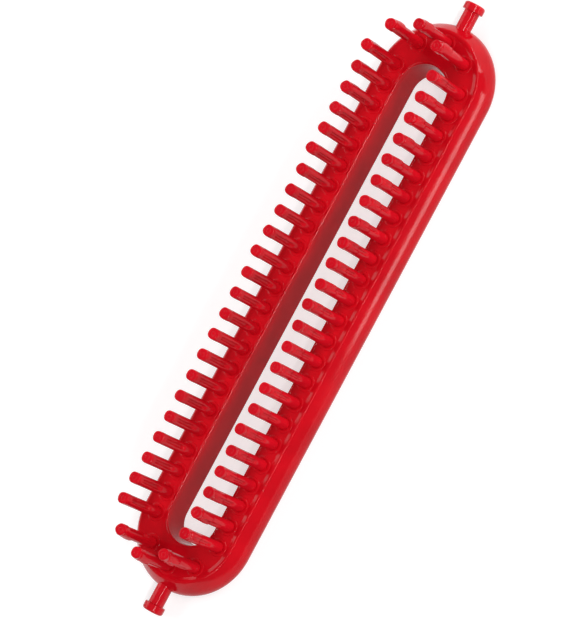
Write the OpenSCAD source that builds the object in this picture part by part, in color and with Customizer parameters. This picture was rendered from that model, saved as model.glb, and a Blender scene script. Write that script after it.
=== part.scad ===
// Long oval knitting loom: a hollow moulded frame with a slot down its middle,
// a ring of pegs pressed into sockets under its deck, and a yarn anchor at each end.
// X runs along the loom, Y across it, Z up. The loom stands on Z = 0.

/* [Peg layout] */
// Pegs in each long row
pegs_per_row = 23; // [9:2:25]
// Pegs round each curved end, between the two rows
pegs_per_end = 3; // [1:1:4]
// Distance from one peg of a row to the next
peg_pitch = 8; // [7.4:0.2:11]
// Distance from the middle of the loom to each row, and radius of the end curves
row_offset = 14.1; // [13.6:0.1:16]

/* [Frame] */
// Height of the flat deck above the table
deck_height = 10; // [9.5:0.5:14]
// Thickness of the deck
deck_thickness = 2.2; // [1.6:0.2:3]
// Thickness of the outer and inner walls
wall = 1.8; // [1.2:0.2:2.2]
// Flat deck beyond the rows, up to the rise of the rim
deck_margin = 3.6; // [3.4:0.2:6]
// Height of the rim's crest above the deck
rim_rise = 0.3; // [0.2:0.1:1.2]
// Width of the rise from the deck to the crest
rim_rise_width = 1.2; // [1:0.2:3]
// Radius that rounds the crest
crest_radius = 1; // [0.5:0.1:1.2]
// How far the widest line of the frame stands outside the crest
rim_spread = 3.9; // [3:0.1:6]
// Height of the widest line above the table
belly_height = 3.3; // [3:0.1:3.8]
// Radius of the rounded outer skirt
belly_radius = 4; // [3.9:0.1:5]
// Radius of the gentle curve of the outer wall, from the crest down to the skirt
wall_curve = 18; // [14:1:40]
// How much nearer the middle the rim's end curves are centred than the end pegs
end_tuck = 0.8; // [0:0.1:2]

/* [Slot] */
// Width of the slot at the deck
slot_width = 19.6; // [14:0.2:20]
// Deck between the slot's end and the line of the end pegs
slot_end_land = 8.9; // [6:0.1:14]
// How much narrower the slot is on each side at the table than at the deck
slot_draft = 1.2; // [0:0.1:2]
// Height of the thin lip round the slot
lip_height = 0.3; // [0.2:0.1:0.6]
// Width of that lip
lip_width = 0.8; // [0.6:0.1:1]

/* [Pegs] */
// Height of a peg above the deck
peg_height = 23.4; // [20:0.2:32]
// Diameter of the stem
stem_diameter = 4.1; // [3.4:0.1:4.3]
// Diameter of the head
head_diameter = 4.1; // [3.8:0.1:4.6]
// Height of the head
head_height = 6.2; // [5:0.2:8]
// How far the head's hooked nose stands outside the stem
nose_reach = 0.65; // [0.4:0.05:1.2]
// Width of the groove down the outward side of the stem
groove_width = 1.3; // [1:0.1:1.8]
// Depth of that groove
groove_depth = 0.5; // [0.3:0.1:0.8]
// Height of the groove's lower end above the deck
groove_start = 6.9; // [3:0.1:10]
// Play between a peg and its socket, on the radius
socket_clearance = 0.06; // [0.02:0.01:0.1]
// Depth to which a socket reaches under the top of the deck
socket_depth = 8.4; // [6:0.2:9]
// Wall of a socket tube
socket_wall = 0.9; // [0.7:0.05:1.1]
// Diameter of the low boss round each peg
boss_diameter = 6.6; // [5.6:0.1:6.8]
// Height of that boss
boss_height = 0.25; // [0.25:0.05:0.8]
// Extra height of a peg that is pressed in less far than its neighbours
proud_lift = 1.3; // [0:0.1:2]

/* [Yarn anchors] */
// Diameter of the anchor's shank
anchor_diameter = 5.6; // [4.6:0.1:6]
// Diameter of the anchor's flange
flange_diameter = 7.6; // [6.6:0.1:8.6]
// Thickness of the flange
flange_thickness = 2.9; // [2:0.1:4]
// Clear length of the shank between the frame and the flange
anchor_reach = 6.4; // [4:0.1:10]
// Height of the anchor's axis above the table
anchor_height = 4.6; // [4.4:0.1:5.4]
// Length of the shank inside the frame
anchor_depth = 4.4; // [3:0.1:4.6]

/* [Hidden] */
$fn = 64;
function two_digits(i) = i < 10 ? str("0", i) : str(i);
function row_name(side, i) = str("peg_", side, "_", two_digits(i));
function end_name(side, i) = str("peg_", side, "_", i);

// Pegs of each row that stand proud, counted from the left
proud_back = [1, 2, 13, 18, 23];
proud_front = [1, 2, 6, 12];
// Other pegs differ by up to this much in height
small_lift = 0.35;
// Noses are turned towards +X from straight outwards, by this much at the middle of the loom,
// with this much more or less at its two ends, and a little more or less from peg to peg
middle_turn = 12;
end_turn = 22;
small_turn = 6;
// Front pegs that were pressed in at an odd angle, with how much further they are turned
stray_front = [[2, -26], [23, -30]];

// Cuts run past the faces they open by this much
past = 1;
row_span = (pegs_per_row - 1) * peg_pitch;
end_centre = row_span / 2;
rim_centre = end_centre - end_tuck;
slot_radius = slot_width / 2;
slot_foot_radius = slot_radius - slot_draft;
slot_centre = end_centre + row_offset - slot_end_land - slot_radius;
deck_underside = deck_height - deck_thickness;

// Rim profile, as distances from the middle line and heights
deck_edge = row_offset + deck_margin;
crest_height = deck_height + rim_rise;
crest_middle = [deck_edge + rim_rise_width, crest_height - crest_radius];
rim_radius = crest_middle.x + rim_spread;
belly_middle = [rim_radius - belly_radius, belly_height];
foot_radius = belly_middle.x + sqrt(pow(belly_radius, 2) - pow(belly_height, 2));
foot_angle = -asin(belly_height / belly_radius);

// The outer wall is an arc that runs smoothly into the rounded skirt and the crest
wall_middle = arc_centre(belly_middle, wall_curve - belly_radius, crest_middle, wall_curve - crest_radius);
skirt_angle = direction(belly_middle - wall_middle);
crest_angle = direction(crest_middle - wall_middle);
hollow_angle = asin((deck_underside - wall_middle.y) / (wall_curve - wall));

// Peg sizes
stem_radius = stem_diameter / 2;
head_radius = head_diameter / 2;
bore_radius = stem_radius + socket_clearance;
socket_radius = bore_radius + socket_wall;
boss_radius = boss_diameter / 2;
neck_height = peg_height - head_height;
// Height of the crisp edge that runs round the head under its cap
cap_depth = 1.9;
cap_edge = 0.08;
nose_radius = 1.93;
gate_radius = 0.95;
gate_width = 0.3;
gate_depth = 0.15;
stem_chamfer = 0.4;
// The nose swells over a long slope from the cap's edge, and rounds in again at its chin
nose_chin = neck_height - 0.8;
nose_top = peg_height - cap_depth;
nose_swell = 0.75;
nose_slope = 2.1;
chin_round = 1.8;

// Anchor sizes
anchor_radius = anchor_diameter / 2;
flange_radius = flange_diameter / 2;
anchor_boss_radius = anchor_radius + socket_clearance + socket_wall;
belly_rise = anchor_height - belly_height;
anchor_root = rim_centre + belly_middle.x + sqrt(pow(belly_radius, 2) - pow(belly_rise, 2));

function direction(v) = atan2(v.y, v.x);

// Rises evenly from 0 to 1
function ease(t) = (1 - cos(180 * t)) / 2;

// The point on the left of the line from a to b that lies at the two distances from them
function arc_centre(a, from_a, b, from_b) =
    let (step = b - a, d = norm(step), along = (pow(from_a, 2) - pow(from_b, 2) + pow(d, 2)) / (2 * d))
        a + along * step / d + sqrt(pow(from_a, 2) - pow(along, 2)) * [-step.y, step.x] / d;

function arc_points(middle, radius, from, to, steps) =
    [for (i = [0:steps]) let (a = from + (to - from) * i / steps)
        middle + radius * [cos(a), sin(a)]];

// Smooth rise from the deck to the crest
function rise_points(steps) =
    [for (i = [0:steps]) let (t = i / steps)
        [deck_edge + rim_rise_width * t, deck_height + rim_rise * ease(t)]];

// Half section of the frame's outside, from the middle line out
function outer_profile() = concat(
    [[0, 0], [foot_radius, 0]],
    arc_points(belly_middle, belly_radius, foot_angle, skirt_angle, 9),
    [for (i = [1:4]) arc_points(wall_middle, wall_curve, skirt_angle, crest_angle, 5)[i]],
    arc_points(crest_middle, crest_radius, crest_angle, 84, 5),
    [for (i = [6:-1:0]) rise_points(6)[i]],
    [[0, deck_height]]
);

// Half section of the hollow under the deck
function hollow_profile() = concat(
    [[0, -past], [foot_radius - wall, -past], [foot_radius - wall, 0]],
    arc_points(belly_middle, belly_radius - wall, -50, skirt_angle, 4),
    [for (i = [1:3]) arc_points(wall_middle, wall_curve - wall, skirt_angle, hollow_angle, 3)[i]],
    [[0, deck_underside]]
);

// Turns a half section into an oval ring or block, straight along X with round ends
module oval(points, centre) {
    for (side = [-1, 1])
        translate([side * centre, 0, 0])
            rotate([0, 0, -side * 90])
                rotate_extrude(angle = 180)
                    polygon(points);
    translate([-centre, 0, 0])
        rotate([90, 0, 90])
            linear_extrude(2 * centre) {
                polygon(points);
                mirror([1, 0]) polygon(points);
            }
}

module slot_cut() {
    slope = slot_draft / deck_height;
    oval([
        [0, -past],
        [slot_foot_radius - slope * past, -past],
        [slot_radius + slope * past, deck_height + past],
        [0, deck_height + past]
    ], slot_centre);
}

module slot_lip() {
    top = deck_height + lip_height;
    outer = slot_radius + lip_width;
    oval([
        [0, deck_height - past],
        [outer, deck_height - past],
        [outer, deck_height],
        [outer - lip_height, top],
        [0, top]
    ], slot_centre);
}

// Hollow under the deck, which leaves a wall round the slot
module hollow() {
    difference() {
        oval(hollow_profile(), rim_centre);
        oval([
            [0, -2 * past],
            [slot_radius + wall - slot_draft / 2, -2 * past],
            [slot_radius + wall - slot_draft / 2, deck_height],
            [0, deck_height]
        ], slot_centre);
    }
}

// Places children at every peg, with X pointing outwards
module at_row_pegs(side) {
    for (i = [1:pegs_per_row])
        at_row_peg(side, i) children();
}

module at_row_peg(side, i) {
    x = (i - 1) * peg_pitch - row_span / 2;
    translate([x, side * row_offset, 0])
        rotate([0, 0, side * 90])
            children();
}

// Angle from the loom's long axis at which a peg of an end curve stands
function end_angle(i) = 90 - i * 180 / (pegs_per_end + 1);

module at_end_peg(side, i) {
    translate([side * end_centre, 0, 0])
        rotate([0, 0, side > 0 ? end_angle(i) : 180 - end_angle(i)])
            translate([row_offset, 0, 0])
                children();
}

module at_all_pegs() {
    for (side = [-1, 1]) {
        at_row_pegs(side) children();
        for (i = [1:pegs_per_end])
            at_end_peg(side, i) children();
    }
}

module socket_tube() {
    translate([0, 0, deck_height - socket_depth])
        cylinder(r = socket_radius, h = socket_depth - deck_thickness / 2);
}

module boss() {
    translate([0, 0, deck_height - deck_thickness / 2])
        cylinder(r = boss_radius, h = deck_thickness / 2 + boss_height);
}

module socket_bore() {
    translate([0, 0, -past])
        cylinder(r = bore_radius, h = deck_height + boss_height + 2 * past);
}

module at_anchor(side) {
    translate([side * anchor_root, 0, anchor_height])
        rotate([0, side * 90, 0])
            children();
}

module anchor_boss() {
    depth = anchor_depth + 2 * socket_clearance + socket_wall / 2;
    intersection() {
        translate([0, 0, -depth])
            cylinder(r = anchor_boss_radius, h = depth - wall / 2);
        translate([-anchor_height - past, -anchor_boss_radius, -depth])
            cube([anchor_height + past + deck_underside, 2 * anchor_boss_radius, depth]);
    }
}

module base_frame() {
    color("#c40d1e")
        difference() {
            union() {
                difference() {
                    union() {
                        oval(outer_profile(), rim_centre);
                        slot_lip();
                    }
                    hollow();
                }
                at_all_pegs() {
                    socket_tube();
                    boss();
                }
                for (side = [-1, 1])
                    at_anchor(side) anchor_boss();
            }
            slot_cut();
            at_all_pegs() socket_bore();
            for (side = [-1, 1])
                at_anchor(side)
                    translate([0, 0, -anchor_depth - socket_clearance])
                        cylinder(r = anchor_radius + socket_clearance, h = anchor_depth + wall);
        }
}

// Stem that steps in by a small ledge where the head begins
module peg_stem() {
    foot = -socket_depth;
    ledge = 0.3;
    rotate_extrude()
        polygon([
            [0, foot],
            [stem_radius - stem_chamfer, foot],
            [stem_radius, foot + stem_chamfer],
            [stem_radius, neck_height],
            [head_radius - cap_edge, neck_height + ledge],
            [head_radius - cap_edge, peg_height - cap_depth],
            [0, peg_height - cap_depth]
        ]);
}

// Cap with a rounded rim and a low crown
module peg_cap() {
    shoulder = 0.4;
    crown = 0.1;
    middle = [head_radius - shoulder, peg_height - crown - shoulder];
    rotate_extrude()
        polygon(concat(
            [[0, peg_height - cap_depth - cap_edge], [head_radius, peg_height - cap_depth - cap_edge]],
            arc_points(middle, shoulder, 0, 75, 5),
            [[0, peg_height]]
        ));
}

// Hooked nose that keeps a loop of yarn on the peg
module peg_nose() {
    steps = 4;
    translate([stem_radius + nose_reach - nose_radius, 0, 0])
        rotate_extrude()
            polygon(concat(
                [[0, nose_chin]],
                [for (i = [0:steps]) let (t = i / steps)
                    [nose_radius - nose_swell * (1 - sin(90 * t)), nose_chin + chin_round * t]],
                [for (i = [0:steps]) let (t = i / steps)
                    [nose_radius - nose_swell * ease(t), nose_top - nose_slope * (1 - t)]],
                [[0, nose_top]]
            ));
}

module peg_groove() {
    radius = groove_width / 2;
    middle = stem_radius + radius - groove_depth;
    top = nose_chin + radius / 2;
    translate([middle, 0, groove_start + radius])
        sphere(r = radius);
    translate([middle, 0, groove_start + radius])
        cylinder(r = radius, h = top - groove_start - radius);
}

module peg_gate() {
    translate([0, 0, peg_height - gate_depth])
        difference() {
            cylinder(r = gate_radius, h = past);
            cylinder(r = gate_radius - gate_width, h = past);
        }
}

// One peg, standing on the deck with its nose towards X
module peg(lift, twist) {
    color("#cc1020")
        translate([0, 0, deck_height + lift])
            rotate([0, 0, twist])
                difference() {
                    union() {
                        peg_stem();
                        peg_cap();
                        peg_nose();
                    }
                    peg_groove();
                    peg_gate();
                }
}

function is_in(value, list) = len(search(value, list)) > 0;
function lift_of(i, proud) =
    (is_in(i, proud) ? proud_lift : 0) + small_lift * (1 + sin(i * 137)) / 2;
// Turn of the nose of a peg that stands at x along the loom and whose outward side is at the angle facing
function turn_of(x, facing) = -(middle_turn + end_turn * x / end_centre) * sin(facing);
function stray_of(i, strays) = let (found = search(i, strays)) len(found) > 0 ? strays[found[0]][1] : 0;

module row_peg(side, i) {
    x = (i - 1) * peg_pitch - row_span / 2;
    proud = side > 0 ? proud_back : proud_front;
    stray = stray_of(i, side > 0 ? [] : stray_front);
    at_row_peg(side, i)
        peg(lift_of(i, proud), turn_of(x, side * 90) + small_turn * sin(i * 97 + side * 40) + stray);
}

module end_peg(side, i) {
    at_end_peg(side, i)
        peg(small_lift * (1 + side * sin(i * 80)) / 2,
            turn_of(side * end_centre, end_angle(i)) + small_turn * sin(i * 130 + side * 50));
}

module anchor(side) {
    rounding = 0.9;
    inner_round = 0.3;
    inner_middle = [flange_radius - inner_round, anchor_reach + inner_round];
    end = anchor_reach + flange_thickness;
    color("#c40d1e")
        at_anchor(side)
            rotate_extrude()
                polygon(concat(
                    [[0, -anchor_depth], [anchor_radius - stem_chamfer, -anchor_depth],
                        [anchor_radius, -anchor_depth + stem_chamfer],
                        [anchor_radius, anchor_reach]],
                    arc_points(inner_middle, inner_round, -90, 0, 3),
                    arc_points([flange_radius - rounding, end - rounding], rounding, 0, 80, 5),
                    [[0, end]]
                ));
}

base_frame();
anchor(-1);  // anchor_left
anchor(1);  // anchor_right
for (i = [1:pegs_per_row]) {
    row_peg(1, i);
    row_peg(-1, i);
}
for (i = [1:pegs_per_end]) {
    end_peg(-1, i);
    end_peg(1, i);
}
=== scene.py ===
"""Looks for the long knitting loom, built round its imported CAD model.

All lengths are written in millimetres, as on the part's drawing, and turned into metres by MM.
X runs along the loom, Y across it towards the back row, Z up. The loom stands on Z = 0.
"""

import math

import bpy
from mathutils import Matrix, Vector
from mathutils.geometry import delaunay_2d_cdt


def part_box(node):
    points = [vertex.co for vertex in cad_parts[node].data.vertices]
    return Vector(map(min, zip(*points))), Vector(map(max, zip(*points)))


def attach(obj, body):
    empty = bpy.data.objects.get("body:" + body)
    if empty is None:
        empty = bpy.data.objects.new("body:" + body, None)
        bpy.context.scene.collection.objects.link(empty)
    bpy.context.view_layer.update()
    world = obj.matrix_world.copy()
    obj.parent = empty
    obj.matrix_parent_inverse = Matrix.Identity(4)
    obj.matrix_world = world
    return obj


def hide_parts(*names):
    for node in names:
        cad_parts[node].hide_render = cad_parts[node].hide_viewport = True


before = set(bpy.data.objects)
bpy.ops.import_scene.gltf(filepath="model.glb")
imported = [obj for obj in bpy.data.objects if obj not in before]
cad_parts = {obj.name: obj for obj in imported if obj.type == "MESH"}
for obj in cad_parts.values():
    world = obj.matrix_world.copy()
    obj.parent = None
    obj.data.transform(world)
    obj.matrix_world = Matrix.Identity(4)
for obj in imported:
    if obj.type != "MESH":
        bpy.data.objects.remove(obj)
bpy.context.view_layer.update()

MM = 0.001

# Peg layout
PEGS_PER_ROW = 23
PEGS_PER_END = 3
PEG_PITCH = 8.0
ROW_OFFSET = 14.1
ROW_SPAN = (PEGS_PER_ROW - 1) * PEG_PITCH
END_CENTRE = ROW_SPAN / 2

# Frame
DECK_HEIGHT = 10.0
DECK_UNDERSIDE = 7.8
DECK_EDGE = 17.5
WALL = 1.8
RIM_CENTRE = END_CENTRE - 0.8
RISE_WIDTH = 1.4
CREST_HEIGHT = 10.3
CREST_RADIUS = 1.0
CREST_MIDDLE = (DECK_EDGE + RISE_WIDTH, CREST_HEIGHT - CREST_RADIUS)
CREST_ANGLE = 36
BEND_ANGLE = 30.5
UPPER_CURVE = 41.7
BELLY_RADIUS = 4.0
BELLY_MIDDLE = (18.8, 3.3)
WALL_CURVE = 18.0

# Slot
SLOT_RADIUS = 9.8
SLOT_FOOT_RADIUS = 8.6
END_PEG_TO_SLOT = 8.9
SLOT_CENTRE = END_CENTRE + ROW_OFFSET - END_PEG_TO_SLOT - SLOT_RADIUS
SLOT_WALL_BACK = 11.0
LIP_HEIGHT = 0.3
LIP_WIDTH = 0.8

# Narrow bevels fall by this share of their width, so that the front panel shines in them
BEVEL_SLOPE = 0.7

# Sockets under the pegs
BOSS_RADIUS = 3.3
BOSS_HEIGHT = 0.25
BORE_RADIUS = 2.055
TUBE_RADIUS = 3.01
SOCKET_DEPTH = 8.4
TUBE_FOOT = DECK_HEIGHT - SOCKET_DEPTH

# Pegs
PEG_HEIGHT = 23.4
PEG_FOOT = -SOCKET_DEPTH
STEM_RADIUS = 2.05
HEAD_RADIUS = 2.05
HEAD_MIDDLE = -0.2
HEAD_SQUARENESS = 2.35
CAP_RADIUS = 2.0
COLLAR_FOOT = 20.0
RIM_DEPTH_INSIDE = 0.9
RIM_DEPTH_NOSE = 2.0
NOSE_RADIUS = 1.93
NOSE_REACH = 0.65
NOSE_REACH_TOP = -0.2
NOSE_FULL = 17.5
NOSE_LOW = 15.2
NOSE_CHIN = 13.2
GROOVE_WIDTH = 1.3
GROOVE_DEPTH = 0.7
GROOVE_START = 6.9
CHANNEL_WIDTH = 1.7
CHANNEL_DEPTH = 1.1
CHANNEL_START = 5.5
SCOOP_LENGTH_IN_DEPTHS = 2.5

# Turns of the noses towards +X, in degrees from straight outwards
MIDDLE_TURN = 12
END_TURN = 22
SMALL_TURN = 6
STRAY_FRONT = {2: -26, 23: -30}

# Yarn anchors
ANCHOR_HEIGHT = 4.6
ANCHOR_RADIUS = 2.8
ANCHOR_REACH = 6.4
ANCHOR_DEPTH = 4.4
FLANGE_RADIUS = 3.8
FLANGE_THICKNESS = 2.9
BELLY_RISE = ANCHOR_HEIGHT - BELLY_MIDDLE[1]
ANCHOR_ROOT = RIM_CENTRE + BELLY_MIDDLE[0] + math.sqrt(BELLY_RADIUS ** 2 - BELLY_RISE ** 2)

# Steps of the meshes
END_STEPS = 72
SIDE_STEPS = 44
BOSS_STEPS = 40
PEG_STEPS = 112
ANCHOR_STEPS = 64


# Shared mesh helpers

def arc(middle, radius, start, end, steps):
    """Points of an arc in a half section, with its angles in degrees."""
    points = []
    for i in range(steps + 1):
        a = math.radians(start + (end - start) * i / steps)
        points.append((middle[0] + radius * math.cos(a), middle[1] + radius * math.sin(a)))
    return points


def arc_centre(a, from_a, b, from_b):
    """The point on the left of the line from a to b that lies at the two distances from them."""
    step = Vector(b) - Vector(a)
    along = (from_a ** 2 - from_b ** 2 + step.length_squared) / (2 * step.length)
    across = math.sqrt(from_a ** 2 - along ** 2)
    return Vector(a) + (along * step + across * Vector((-step.y, step.x))) / step.length


def direction(start, end):
    """Angle of the way from start to end, in degrees."""
    return math.degrees(math.atan2(end[1] - start[1], end[0] - start[0]))


def polar(middle, radius, angle):
    a = math.radians(angle)
    return Vector((middle[0] + radius * math.cos(a), middle[1] + radius * math.sin(a)))


def touching_radius(point, angle, middle, radius):
    """Radius of the arc that leaves the point at the angle and runs smoothly into the given circle."""
    gap = point - Vector(middle)
    reach = gap.dot(polar((0, 0), 1, angle))
    return (radius ** 2 - gap.length_squared) / (2 * (radius - reach))


def smooth_step(value, start, end):
    """0 before start, 1 after end, and an even curve between them."""
    t = min(max((value - start) / (end - start), 0.0), 1.0)
    return t * t * (3 - 2 * t)


def blend_max(a, b, width):
    """The larger of two radii, with the crease between them rounded."""
    share = max(width - abs(a - b), 0.0) / width
    return max(a, b) + share * share * width / 4


def oval_loop(centre, offset):
    """Points of an oval at one distance from the middle line, anticlockwise from the front right."""
    points = []
    for side in (1, -1):
        for i in range(END_STEPS + 1):
            a = math.radians(-90 + 180 * i / END_STEPS)
            points.append((side * (centre + offset * math.cos(a)), side * offset * math.sin(a)))
        for i in range(1, SIDE_STEPS):
            x = centre - 2 * centre * i / SIDE_STEPS
            points.append((side * x, side * offset))
    return points


class MeshParts:
    """Collects vertices in millimetres and faces for one mesh."""

    def __init__(self):
        self.vertices = []
        self.faces = []

    def loop_through(self, points):
        first = len(self.vertices)
        self.vertices += points
        return list(range(first, len(self.vertices)))

    def loop(self, points, height):
        return self.loop_through([(x, y, height) for x, y in points])

    def join(self, upper, lower):
        """Quads between two closed loops of the same length."""
        count = len(upper)
        for i in range(count):
            j = (i + 1) % count
            self.faces.append((upper[i], lower[i], lower[j], upper[j]))

    def strip(self, loops):
        for upper, lower in zip(loops, loops[1:]):
            self.join(upper, lower)

    def flat_region(self, height, outer, inners, inside, facing_up):
        """Fills the flat area between loops that exist already, at one height."""
        loops = [outer] + inners
        used = [v for loop in loops for v in loop]
        flat = [Vector(self.vertices[v][:2]) for v in used]
        place = {v: k for k, v in enumerate(used)}
        edges = []
        for loop in loops:
            edges += [(place[a], place[b]) for a, b in zip(loop, loop[1:] + loop[:1])]
        points, _, triangles, origins, _, _ = delaunay_2d_cdt(flat, edges, [], 0, 1e-6)
        index = []
        for point, origin in zip(points, origins):
            if origin:
                index.append(used[origin[0]])
            else:
                index.append(len(self.vertices))
                self.vertices.append((point.x, point.y, height))
        for triangle in triangles:
            corners = [points[k] for k in triangle]
            middle = sum(corners, Vector((0, 0))) / 3
            if not inside(middle.x, middle.y):
                continue
            turn = (corners[1] - corners[0]).cross(corners[2] - corners[0])
            face = [index[k] for k in triangle]
            if (turn > 0) != facing_up:
                face.reverse()
            self.faces.append(tuple(face))

    def mesh(self, name):
        mesh = bpy.data.meshes.new(name)
        scaled = [(x * MM, y * MM, z * MM) for x, y, z in self.vertices]
        mesh.from_pydata(scaled, [], self.faces)
        mesh.polygons.foreach_set("use_smooth", [True] * len(mesh.polygons))
        mesh.validate()
        mesh.update()
        return mesh


def add_object(name, mesh):
    obj = bpy.data.objects.new(name, mesh)
    bpy.context.scene.collection.objects.link(obj)
    return obj


def oval_distance(x, y, centre):
    """Distance from the middle line of an oval, which is straight between its two end centres."""
    beyond = max(abs(x) - centre, 0.0)
    return math.hypot(beyond, y)


# Where the pegs stand

def row_place(side, i):
    """Foot of a row peg and the direction that its nose would face if it were pressed in straight."""
    x = (i - 1) * PEG_PITCH - ROW_SPAN / 2
    return (x, side * ROW_OFFSET), side * 90.0


def end_place(side, i):
    angle = 90 - i * 180 / (PEGS_PER_END + 1)
    facing = angle if side > 0 else 180 - angle
    a = math.radians(facing)
    return (side * END_CENTRE + ROW_OFFSET * math.cos(a), ROW_OFFSET * math.sin(a)), facing


def all_places():
    places = [row_place(side, i)[0] for side in (-1, 1) for i in range(1, PEGS_PER_ROW + 1)]
    places += [end_place(side, i)[0] for side in (-1, 1) for i in range(1, PEGS_PER_END + 1)]
    return places


# Frame

def rim_profile():
    """From the deck's edge over the crest, down the wall, round the foot and up inside to the deck."""
    wall_middle = arc_centre(
        BELLY_MIDDLE, WALL_CURVE - BELLY_RADIUS, CREST_MIDDLE, WALL_CURVE - CREST_RADIUS
    )
    skirt_angle = direction(wall_middle, BELLY_MIDDLE)
    # The wall is nearly straight above and rounds into the belly below
    upper_middle = polar(CREST_MIDDLE, CREST_RADIUS - UPPER_CURVE, CREST_ANGLE)
    bend = polar(upper_middle, UPPER_CURVE, BEND_ANGLE)
    lower_curve = touching_radius(bend, BEND_ANGLE, BELLY_MIDDLE, BELLY_RADIUS)
    lower_middle = polar(bend, -lower_curve, BEND_ANGLE)
    belly_angle = direction(lower_middle, BELLY_MIDDLE)
    hollow_angle = math.degrees(math.asin((DECK_UNDERSIDE - wall_middle.y) / (WALL_CURVE - WALL)))
    foot_angle = -math.degrees(math.asin(BELLY_MIDDLE[1] / BELLY_RADIUS))
    foot_radius = BELLY_MIDDLE[0] + BELLY_RADIUS * math.cos(math.radians(foot_angle))
    edge_round = 0.25
    ramp_angle = 103
    ramp_end = polar(CREST_MIDDLE, CREST_RADIUS, ramp_angle)
    ramp_start = Vector((DECK_EDGE, DECK_HEIGHT))
    points = [tuple(ramp_start.lerp(ramp_end, t)) for t in (0, 0.06, 0.5, 0.94)]
    points += arc(CREST_MIDDLE, CREST_RADIUS, ramp_angle, CREST_ANGLE, 11)
    points += arc(upper_middle, UPPER_CURVE, CREST_ANGLE, BEND_ANGLE, 8)[1:-1]
    points += arc(lower_middle, lower_curve, BEND_ANGLE, belly_angle, 16)[:-1]
    points += arc(BELLY_MIDDLE, BELLY_RADIUS, belly_angle, foot_angle + 4, 14)
    points += [(foot_radius - edge_round, 0), (foot_radius - WALL + edge_round, 0)]
    points += [(foot_radius - WALL, edge_round)]
    points += arc(BELLY_MIDDLE, BELLY_RADIUS - WALL, -50, skirt_angle, 8)
    points += arc(wall_middle, WALL_CURVE - WALL, skirt_angle, hollow_angle, 5)[1:]
    return points


def slot_profile():
    """From the deck over the lip, down the slot's wall, round its foot and up behind it to the deck."""
    lip_outer = SLOT_RADIUS + LIP_WIDTH
    lip_top = DECK_HEIGHT + LIP_HEIGHT
    soft = 0.1
    # The wall has two faint parting lines, where the two halves of the mould met and slid
    upper_line = 8.7
    lower_line = 2.3
    ledge = 0.07
    slope = (SLOT_RADIUS - SLOT_FOOT_RADIUS) / DECK_HEIGHT

    def wall_radius(height):
        return SLOT_FOOT_RADIUS + slope * height

    return [
        (lip_outer + soft, DECK_HEIGHT),
        (lip_outer + 0.02, DECK_HEIGHT + 0.03),
        (lip_outer - 0.06, DECK_HEIGHT + 0.11),
        (lip_outer - 0.16, lip_top - 0.08),
        (lip_outer - 0.26, lip_top - 0.02),
        (lip_outer - 0.36, lip_top),
        (SLOT_RADIUS + 0.37, lip_top),
        (SLOT_RADIUS + 0.33, lip_top - 0.01),
        (SLOT_RADIUS + 0.17, lip_top - 0.01 - BEVEL_SLOPE * 0.16),
        (SLOT_RADIUS + 0.01, lip_top - 0.01 - BEVEL_SLOPE * 0.32),
        (SLOT_RADIUS, lip_top - 0.28),
        (wall_radius(upper_line + 0.1), upper_line + 0.1),
        (wall_radius(upper_line) - ledge, upper_line),
        (wall_radius(upper_line - 0.1) - ledge, upper_line - 0.1),
        (wall_radius(lower_line + 0.1) - ledge, lower_line + 0.1),
        (wall_radius(lower_line), lower_line),
        (wall_radius(lower_line - 0.1), lower_line - 0.1),
        (wall_radius(0.3), 0.3),
        (SLOT_FOOT_RADIUS + 0.06, 0.12),
        (SLOT_FOOT_RADIUS + 0.22, 0),
        (SLOT_WALL_BACK - 0.2, 0),
        (SLOT_WALL_BACK, 0.2),
        (SLOT_WALL_BACK, DECK_UNDERSIDE),
    ]


def socket_profile():
    """From the deck over the boss, down the bore, round the tube's foot and up to the deck's underside."""
    top = DECK_HEIGHT + BOSS_HEIGHT
    return [
        (BOSS_RADIUS + 0.06, DECK_HEIGHT),
        (BOSS_RADIUS - 0.02, DECK_HEIGHT + 0.02),
        (BOSS_RADIUS - 0.06, DECK_HEIGHT + 0.08),
        (BOSS_RADIUS - 0.09, top - 0.1),
        (BOSS_RADIUS - 0.15, top - 0.03),
        (BOSS_RADIUS - 0.25, top),
        (BORE_RADIUS + 0.03, top),
        (BORE_RADIUS, top - 0.03),
        (BORE_RADIUS, TUBE_FOOT + 0.1),
        (BORE_RADIUS + 0.1, TUBE_FOOT),
        (TUBE_RADIUS - 0.1, TUBE_FOOT),
        (TUBE_RADIUS, TUBE_FOOT + 0.1),
        (TUBE_RADIUS, DECK_UNDERSIDE - 0.1),
        (TUBE_RADIUS + 0.05, DECK_UNDERSIDE),
    ]


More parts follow.
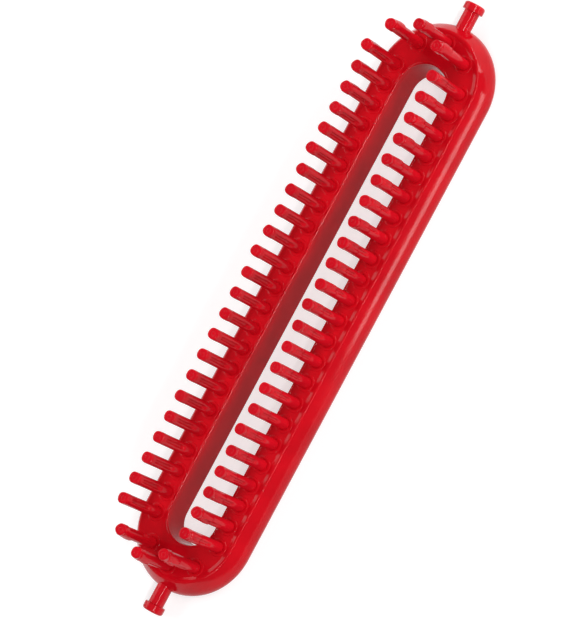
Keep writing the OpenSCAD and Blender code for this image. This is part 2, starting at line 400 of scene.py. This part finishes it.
def frame_mesh():
    parts = MeshParts()
    rim = [parts.loop(oval_loop(RIM_CENTRE, r), z) for r, z in rim_profile()]
    slot = [parts.loop(oval_loop(SLOT_CENTRE, r), z) for r, z in slot_profile()]
    parts.strip(rim)
    parts.strip(slot[::-1])
    circle = [math.radians(360 * k / BOSS_STEPS) for k in range(BOSS_STEPS)]
    sockets = []
    for x, y in all_places():
        loops = []
        for r, z in socket_profile():
            loops.append(parts.loop([(x + r * math.cos(a), y + r * math.sin(a)) for a in circle], z))
        parts.strip(loops[::-1])
        sockets.append(loops)
    places = all_places()

    def between(rim_edge, slot_edge, hole):
        def inside(x, y):
            if oval_distance(x, y, RIM_CENTRE) > rim_edge or oval_distance(x, y, SLOT_CENTRE) < slot_edge:
                return False
            return all(math.hypot(x - px, y - py) > hole for px, py in places)
        return inside

    chord = math.cos(math.pi / BOSS_STEPS)
    top_inside = between(DECK_EDGE, slot_profile()[0][0], socket_profile()[0][0] * chord)
    foot_inside = between(rim_profile()[-1][0], SLOT_WALL_BACK, socket_profile()[-1][0] * chord)
    tops = [slot[0]] + [loops[0] for loops in sockets]
    feet = [slot[-1]] + [loops[-1] for loops in sockets]
    parts.flat_region(DECK_HEIGHT, rim[0], tops, top_inside, True)
    parts.flat_region(DECK_UNDERSIDE, rim[-1], feet, foot_inside, False)
    return parts.mesh("frame_moulding")


# Pegs

def disc_radius(angle, middle, radius):
    """Distance from the peg's axis to the edge of a disc whose middle lies towards the nose."""
    return middle * math.cos(angle) + math.sqrt(radius ** 2 - (middle * math.sin(angle)) ** 2)


def squared(angle):
    """How much further out a head's rounded square lies than the circle inside it."""
    n = HEAD_SQUARENESS
    return (abs(math.cos(angle)) ** n + abs(math.sin(angle)) ** n) ** (-1 / n)


def nose_middle(height):
    """How far the middle of the nose's disc lies from the peg's axis."""
    if height < NOSE_FULL:
        return NOSE_REACH * smooth_step(height, NOSE_CHIN, NOSE_LOW)
    share = (height - NOSE_FULL) / (PEG_HEIGHT - NOSE_FULL)
    return NOSE_REACH + (NOSE_REACH_TOP - NOSE_REACH) * share


def trough(angle, facing, height, width, depth, start, end):
    """Depth of a round-ended groove that runs up the peg on the side at the angle facing."""
    across = STEM_RADIUS * math.sin(angle - facing)
    if math.cos(angle - facing) <= 0 or abs(across) >= width / 2:
        return 0.0
    scoop = SCOOP_LENGTH_IN_DEPTHS * depth
    ends = smooth_step(height, start, start + scoop) * (1 - smooth_step(height, end - width, end))
    return depth * ends * math.sqrt(1 - (2 * across / width) ** 4)


def peg_radius(angle, height):
    """Distance from the peg's axis to its surface below the cap."""
    nose = disc_radius(angle, nose_middle(height), NOSE_RADIUS)
    if height > COLLAR_FOOT:
        collar_edge = 0.06
        head = disc_radius(angle, HEAD_MIDDLE, HEAD_RADIUS * squared(angle))
        return blend_max(head, nose + collar_edge, 0.1)
    radius = blend_max(STEM_RADIUS, nose, 0.1)
    radius -= trough(angle, 0.0, height, GROOVE_WIDTH, GROOVE_DEPTH, GROOVE_START, COLLAR_FOOT)
    radius -= trough(angle, math.pi, height, CHANNEL_WIDTH, CHANNEL_DEPTH, CHANNEL_START, COLLAR_FOOT)
    return radius


def rim_height(angle):
    """Height of the slanted edge under the cap, which is lowest on the nose's side."""
    share = (1 + math.cos(angle)) / 2
    return PEG_HEIGHT - RIM_DEPTH_INSIDE - (RIM_DEPTH_NOSE - RIM_DEPTH_INSIDE) * share


def spread(start, end, steps):
    return [start + (end - start) * i / steps for i in range(steps)]


def peg_mesh():
    """A peg that stands on Z = 0 at the deck, with its nose towards X."""
    parts = MeshParts()
    angles = [2 * math.pi * k / PEG_STEPS for k in range(PEG_STEPS)]
    shoulder = 0.25
    crown = 0.1
    round_middle = PEG_HEIGHT - crown - shoulder
    scoop_top = CHANNEL_START + SCOOP_LENGTH_IN_DEPTHS * CHANNEL_DEPTH

    def crown_height(radius):
        return PEG_HEIGHT - crown * radius / (CAP_RADIUS - shoulder)

    def disc_loop(radius, height):
        return parts.loop([(radius * math.cos(a), radius * math.sin(a)) for a in angles], height)

    def cap_loop(radius, height):
        points = []
        for a in angles:
            r = radius * squared(a)
            points.append((HEAD_MIDDLE + r * math.cos(a), r * math.sin(a)))
        return parts.loop(points, height)

    def shaped_loop(radius_at, height_at):
        points = []
        for a in angles:
            r = radius_at(a)
            points.append((r * math.cos(a), r * math.sin(a), height_at(a)))
        return parts.loop_through(points)

    def level_loop(height):
        return shaped_loop(lambda a: peg_radius(a, height), lambda a: height)

    def rim_loop(inset, lift):
        return shaped_loop(
            lambda a: peg_radius(a, rim_height(a)) - inset, lambda a: rim_height(a) + lift
        )

    rows = []
    foot_chamfer = 0.4
    rows.append(disc_loop(0.02, PEG_FOOT))
    rows.append(disc_loop(STEM_RADIUS - foot_chamfer, PEG_FOOT))
    rows.append(disc_loop(STEM_RADIUS, PEG_FOOT + foot_chamfer))
    heights = [0.0, 3.0]
    heights += spread(CHANNEL_START, scoop_top, 12)
    heights += spread(scoop_top, NOSE_CHIN, 6)
    heights += spread(NOSE_CHIN, NOSE_LOW, 10)
    heights += spread(NOSE_LOW, NOSE_FULL, 4)
    heights += spread(NOSE_FULL, COLLAR_FOOT - 0.1, 8)
    heights += [COLLAR_FOOT + step for step in (-0.1, -0.05, 0.04, 0.1, 0.5)]
    for height in heights:
        rows.append(level_loop(height))
    rows.append(rim_loop(0, -0.4))
    rows.append(rim_loop(0, -0.2))
    for inset in (0.02, 0.13, 0.24):
        rows.append(rim_loop(inset, BEVEL_SLOPE * (inset - 0.25)))
    # The narrow groove between the collar and the cap
    for inset, lift in ((0.27, 0.03), (0.27, 0.1), (0.05, 0.3), (0.01, 0.36)):
        rows.append(rim_loop(inset, lift))
    for r, z in arc((CAP_RADIUS - shoulder, round_middle), shoulder, 0, 76, 8):
        rows.append(cap_loop(r, z))
    # The gate mark, a shallow ring in the crown
    for r, sink in ((1.1, 0), (0.99, 0.01), (0.93, 0.08), (0.68, 0.08), (0.62, 0.01), (0.5, 0), (0.05, 0)):
        rows.append(cap_loop(r, crown_height(r) - sink))
    parts.strip(rows[::-1])
    parts.faces.append(tuple(rows[0][::-1]))
    parts.faces.append(tuple(rows[-1]))
    return parts.mesh("peg_shape")


def outward_turn(x, facing):
    """Turn of the nose of a peg that stands at x along the loom and whose outward side is at facing."""
    return -(MIDDLE_TURN + END_TURN * x / END_CENTRE) * math.sin(math.radians(facing))


def row_turn(side, i):
    place, facing = row_place(side, i)
    stray = STRAY_FRONT.get(i, 0) if side < 0 else 0
    small = SMALL_TURN * math.sin(math.radians(i * 97 + side * 40))
    return outward_turn(place[0], facing) + small + stray


def end_turn(side, i):
    facing = end_place(side, i)[1]
    small = SMALL_TURN * math.sin(math.radians(i * 130 + side * 50))
    return outward_turn(side * END_CENTRE, facing) + small


def even_normals(obj):
    """Keeps the large faces flat in the shading, so that narrow bevels show as crisp lines."""
    weighted = obj.modifiers.new("even_normals", "WEIGHTED_NORMAL")
    weighted.weight = 90


def add_peg(name, node, mesh, place, facing):
    """A peg in its socket, as deep as the CAD peg of that node."""
    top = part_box(node)[1].z
    obj = add_object(name, mesh)
    lift = top - PEG_HEIGHT * MM
    obj.matrix_world = (
        Matrix.Translation((place[0] * MM, place[1] * MM, lift))
        @ Matrix.Rotation(math.radians(facing), 4, "Z")
    )
    even_normals(obj)
    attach(obj, "root")
    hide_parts(node)
    return obj


# Yarn anchors

def anchor_mesh():
    """An anchor whose axis is Z, with Z = 0 where it leaves the frame."""
    end = ANCHOR_REACH + FLANGE_THICKNESS
    inner_round = 0.3
    outer_round = 0.9
    profile = [(0.02, -ANCHOR_DEPTH), (ANCHOR_RADIUS - 0.4, -ANCHOR_DEPTH)]
    profile += [(ANCHOR_RADIUS, -ANCHOR_DEPTH + 0.4), (ANCHOR_RADIUS, 0)]
    profile += arc((ANCHOR_RADIUS + 0.25, ANCHOR_REACH - 0.25), 0.25, 180, 90, 5)
    profile += arc((FLANGE_RADIUS - inner_round, ANCHOR_REACH + inner_round), inner_round, -90, 0, 5)
    profile += arc((FLANGE_RADIUS - outer_round, end - outer_round), outer_round, 0, 80, 10)
    profile += [(1.2, end - 0.01), (0.02, end)]
    parts = MeshParts()
    angles = [2 * math.pi * k / ANCHOR_STEPS for k in range(ANCHOR_STEPS)]
    rows = [parts.loop([(r * math.cos(a), r * math.sin(a)) for a in angles], z) for r, z in profile]
    parts.strip(rows[::-1])
    parts.faces.append(tuple(rows[0][::-1]))
    parts.faces.append(tuple(rows[-1]))
    return parts.mesh("anchor_shape")


# Materials

def plastic(name, colour, gloss, roughness, waviness):
    """Glossy moulded plastic: even colour with faint flow marks, slight waviness and fine grain."""
    material = bpy.data.materials.new(name)
    material.use_nodes = True
    nodes = material.node_tree.nodes
    links = material.node_tree.links
    shader = nodes["Principled BSDF"]
    shader.inputs["IOR"].default_value = 1.49
    shader.inputs["Specular IOR Level"].default_value = gloss
    coordinates = nodes.new("ShaderNodeTexCoord")
    info = nodes.new("ShaderNodeObjectInfo")
    shift = nodes.new("ShaderNodeVectorMath")
    shift.operation = "MULTIPLY_ADD"
    shift.inputs[1].default_value = (1, 1, 1)
    links.new(coordinates.outputs["Object"], shift.inputs[0])
    links.new(info.outputs["Random"], shift.inputs[2])

    def noise(scale, detail):
        node = nodes.new("ShaderNodeTexNoise")
        node.inputs["Scale"].default_value = scale
        node.inputs["Detail"].default_value = detail
        links.new(shift.outputs[0], node.inputs["Vector"])
        return node.outputs["Fac"]

    def ranged(value, low, high):
        node = nodes.new("ShaderNodeMapRange")
        node.inputs["From Min"].default_value = 0.3
        node.inputs["From Max"].default_value = 0.7
        node.inputs["To Min"].default_value = low
        node.inputs["To Max"].default_value = high
        links.new(value, node.inputs["Value"])
        return node.outputs["Result"]

    flow = noise(90, 3)
    tint = nodes.new("ShaderNodeMix")
    tint.data_type = "RGBA"
    tint.inputs["A"].default_value = (*[c * 0.88 for c in colour], 1)
    tint.inputs["B"].default_value = (*[c * 1.08 for c in colour], 1)
    links.new(ranged(flow, 0, 1), tint.inputs["Factor"])
    links.new(tint.outputs["Result"], shader.inputs["Base Color"])
    links.new(ranged(noise(260, 4), roughness * 0.8, roughness * 1.25), shader.inputs["Roughness"])
    wave = nodes.new("ShaderNodeBump")
    wave.inputs["Strength"].default_value = 1.0
    wave.inputs["Distance"].default_value = waviness
    links.new(noise(140, 2), wave.inputs["Height"])
    grain = nodes.new("ShaderNodeBump")
    grain.inputs["Strength"].default_value = 1.0
    grain.inputs["Distance"].default_value = waviness / 12
    links.new(noise(1500, 3), grain.inputs["Height"])
    links.new(wave.outputs["Normal"], grain.inputs["Normal"])
    links.new(grain.outputs["Normal"], shader.inputs["Normal"])
    return material


FRAME_RED = (0.58, 0.003, 0.010)
PEG_RED = (0.62, 0.005, 0.014)
frame_red = plastic("frame_red_plastic", FRAME_RED, 0.19, 0.09, 0.00002)
peg_red = plastic("peg_red_plastic", PEG_RED, 0.1, 0.09, 0.00001)
anchor_red = plastic("anchor_red_plastic", PEG_RED, 0.2, 0.1, 0.000015)


# The loom

moulding = add_object("frame_moulding", frame_mesh())
moulding.data.materials.append(frame_red)
even_normals(moulding)
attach(moulding, "root")
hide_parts("base_frame")

peg_shape = peg_mesh()
peg_shape.materials.append(peg_red)
for side, row in ((1, "back"), (-1, "front")):
    for i in range(1, PEGS_PER_ROW + 1):
        place, facing = row_place(side, i)
        add_peg(f"{row}_peg_{i:02d}", f"peg_{row}_{i:02d}", peg_shape, place, facing + row_turn(side, i))
for side, end in ((-1, "left"), (1, "right")):
    for i in range(1, PEGS_PER_END + 1):
        place, facing = end_place(side, i)
        add_peg(f"{end}_peg_{i}", f"peg_{end}_{i}", peg_shape, place, facing + end_turn(side, i))

anchor_shape = anchor_mesh()
anchor_shape.materials.append(anchor_red)
for side, end in ((-1, "left"), (1, "right")):
    obj = add_object(f"{end}_yarn_anchor", anchor_shape)
    obj.matrix_world = (
        Matrix.Translation((side * ANCHOR_ROOT * MM, 0, ANCHOR_HEIGHT * MM))
        @ Matrix.Rotation(math.radians(side * 90), 4, "Y")
    )
    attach(obj, "root")
    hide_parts(f"anchor_{end}")


# Camera, fitted to the photograph

IMAGE_SIZE = (569, 620)
PIXELS_PER_PITCH = 23.193
SENSOR = 36.0
ELEVATION = math.radians(60)
AZIMUTH = math.radians(0.4986)
ROLL = math.radians(-61.443)
DISTANCE = 1.44
FOCAL_PIXELS = PIXELS_PER_PITCH / (PEG_PITCH * MM) * DISTANCE
TARGET = Vector((0, 0, DECK_HEIGHT * MM))
TARGET_PIXEL = (307.22, 304.44)


def add_camera():
    forward = Vector((
        math.cos(ELEVATION) * math.sin(AZIMUTH),
        math.cos(ELEVATION) * math.cos(AZIMUTH),
        -math.sin(ELEVATION),
    ))
    level_right = Vector((math.cos(AZIMUTH), -math.sin(AZIMUTH), 0))
    level_down = forward.cross(level_right)
    right = math.cos(ROLL) * level_right - math.sin(ROLL) * level_down
    down = math.sin(ROLL) * level_right + math.cos(ROLL) * level_down
    across = (TARGET_PIXEL[0] - IMAGE_SIZE[0] / 2) / FOCAL_PIXELS * DISTANCE
    below = (TARGET_PIXEL[1] - IMAGE_SIZE[1] / 2) / FOCAL_PIXELS * DISTANCE
    place = TARGET - right * across - down * below - forward * DISTANCE
    data = bpy.data.cameras.new("camera")
    data.sensor_width = SENSOR
    data.lens = FOCAL_PIXELS * SENSOR / max(IMAGE_SIZE)
    data.clip_start = 0.05
    data.clip_end = 50
    camera = bpy.data.objects.new("camera", data)
    turn = Matrix((right, -down, -forward)).transposed().to_4x4()
    camera.matrix_world = Matrix.Translation(place) @ turn
    bpy.context.scene.collection.objects.link(camera)
    bpy.context.scene.camera = camera


add_camera()


# Floor

def floor_material():
    """Pale floor that camera and mirror rays see as white paper with the loom's shadow on it."""
    material = bpy.data.materials.new("pale_floor")
    material.use_nodes = True
    nodes = material.node_tree.nodes
    links = material.node_tree.links
    nodes.clear()
    output = nodes.new("ShaderNodeOutputMaterial")
    paper = nodes.new("ShaderNodeBsdfDiffuse")
    paper.inputs["Color"].default_value = (0.55, 0.55, 0.55, 1)
    glow = nodes.new("ShaderNodeEmission")
    glow.inputs["Color"].default_value = (1, 1, 1, 1)
    total = nodes.new("ShaderNodeAddShader")
    path = nodes.new("ShaderNodeLightPath")
    seen = nodes.new("ShaderNodeMath")
    seen.operation = "MAXIMUM"
    seen_through = nodes.new("ShaderNodeMath")
    seen_through.operation = "MAXIMUM"
    strength = nodes.new("ShaderNodeMath")
    strength.operation = "MULTIPLY"
    strength.inputs[1].default_value = 0.6
    links.new(path.outputs["Is Camera Ray"], seen.inputs[0])
    links.new(path.outputs["Is Glossy Ray"], seen.inputs[1])
    links.new(seen.outputs[0], seen_through.inputs[0])
    links.new(path.outputs["Is Transmission Ray"], seen_through.inputs[1])
    links.new(seen_through.outputs[0], strength.inputs[0])
    links.new(strength.outputs[0], glow.inputs["Strength"])
    links.new(paper.outputs[0], total.inputs[0])
    links.new(glow.outputs[0], total.inputs[1])
    links.new(total.outputs[0], output.inputs["Surface"])
    return material


def add_floor():
    half = 6.0
    mesh = bpy.data.meshes.new("floor")
    corners = [(-half, -half, 0), (half, -half, 0), (half, half, 0), (-half, half, 0)]
    mesh.from_pydata(corners, [], [(0, 1, 2, 3)])
    mesh.materials.append(floor_material())
    floor = add_object("floor", mesh)


add_floor()


# Light

def add_panel(name, bearing, elevation, distance, width, height, radiance):
    """A soft panel that faces the loom. Bearing 0 is the camera's side, and it grows to the right."""
    b = math.radians(bearing)
    e = math.radians(elevation)
    outward = Vector((math.cos(e) * math.sin(b), -math.cos(e) * math.cos(b), math.sin(e)))
    data = bpy.data.lights.new(name, "AREA")
    data.shape = "RECTANGLE"
    data.size = width
    data.size_y = height
    data.energy = radiance * math.pi * width * height
    lamp = bpy.data.objects.new(name, data)
    lamp.location = TARGET + outward * distance
    lamp.rotation_euler = outward.to_track_quat("Z", "Y").to_euler()
    bpy.context.scene.collection.objects.link(lamp)


add_panel("left_softbox", -56, 40, 1.0, 0.30, 0.45, 2.2)
add_panel("right_softbox", 56, 40, 1.0, 0.30, 0.45, 2.2)
add_panel("front_panel", 0, 50, 1.8, 2.6, 0.12, 23.4)
add_panel("front_card", 14, 2.0, 1.2, 0.60, 0.08, 10)
add_panel("right_card", 72, 8, 1.0, 0.60, 0.25, 8)
add_panel("back_card", 180, 32, 1.4, 2.0, 0.90, 2.4)

world = bpy.data.worlds.new("studio")
world.use_nodes = True
world.node_tree.nodes["Background"].inputs["Color"].default_value = (1, 1, 1, 1)
world.node_tree.nodes["Background"].inputs["Strength"].default_value = 0.18
bpy.context.scene.world = world
bpy.context.scene.view_settings.view_transform = "Standard"
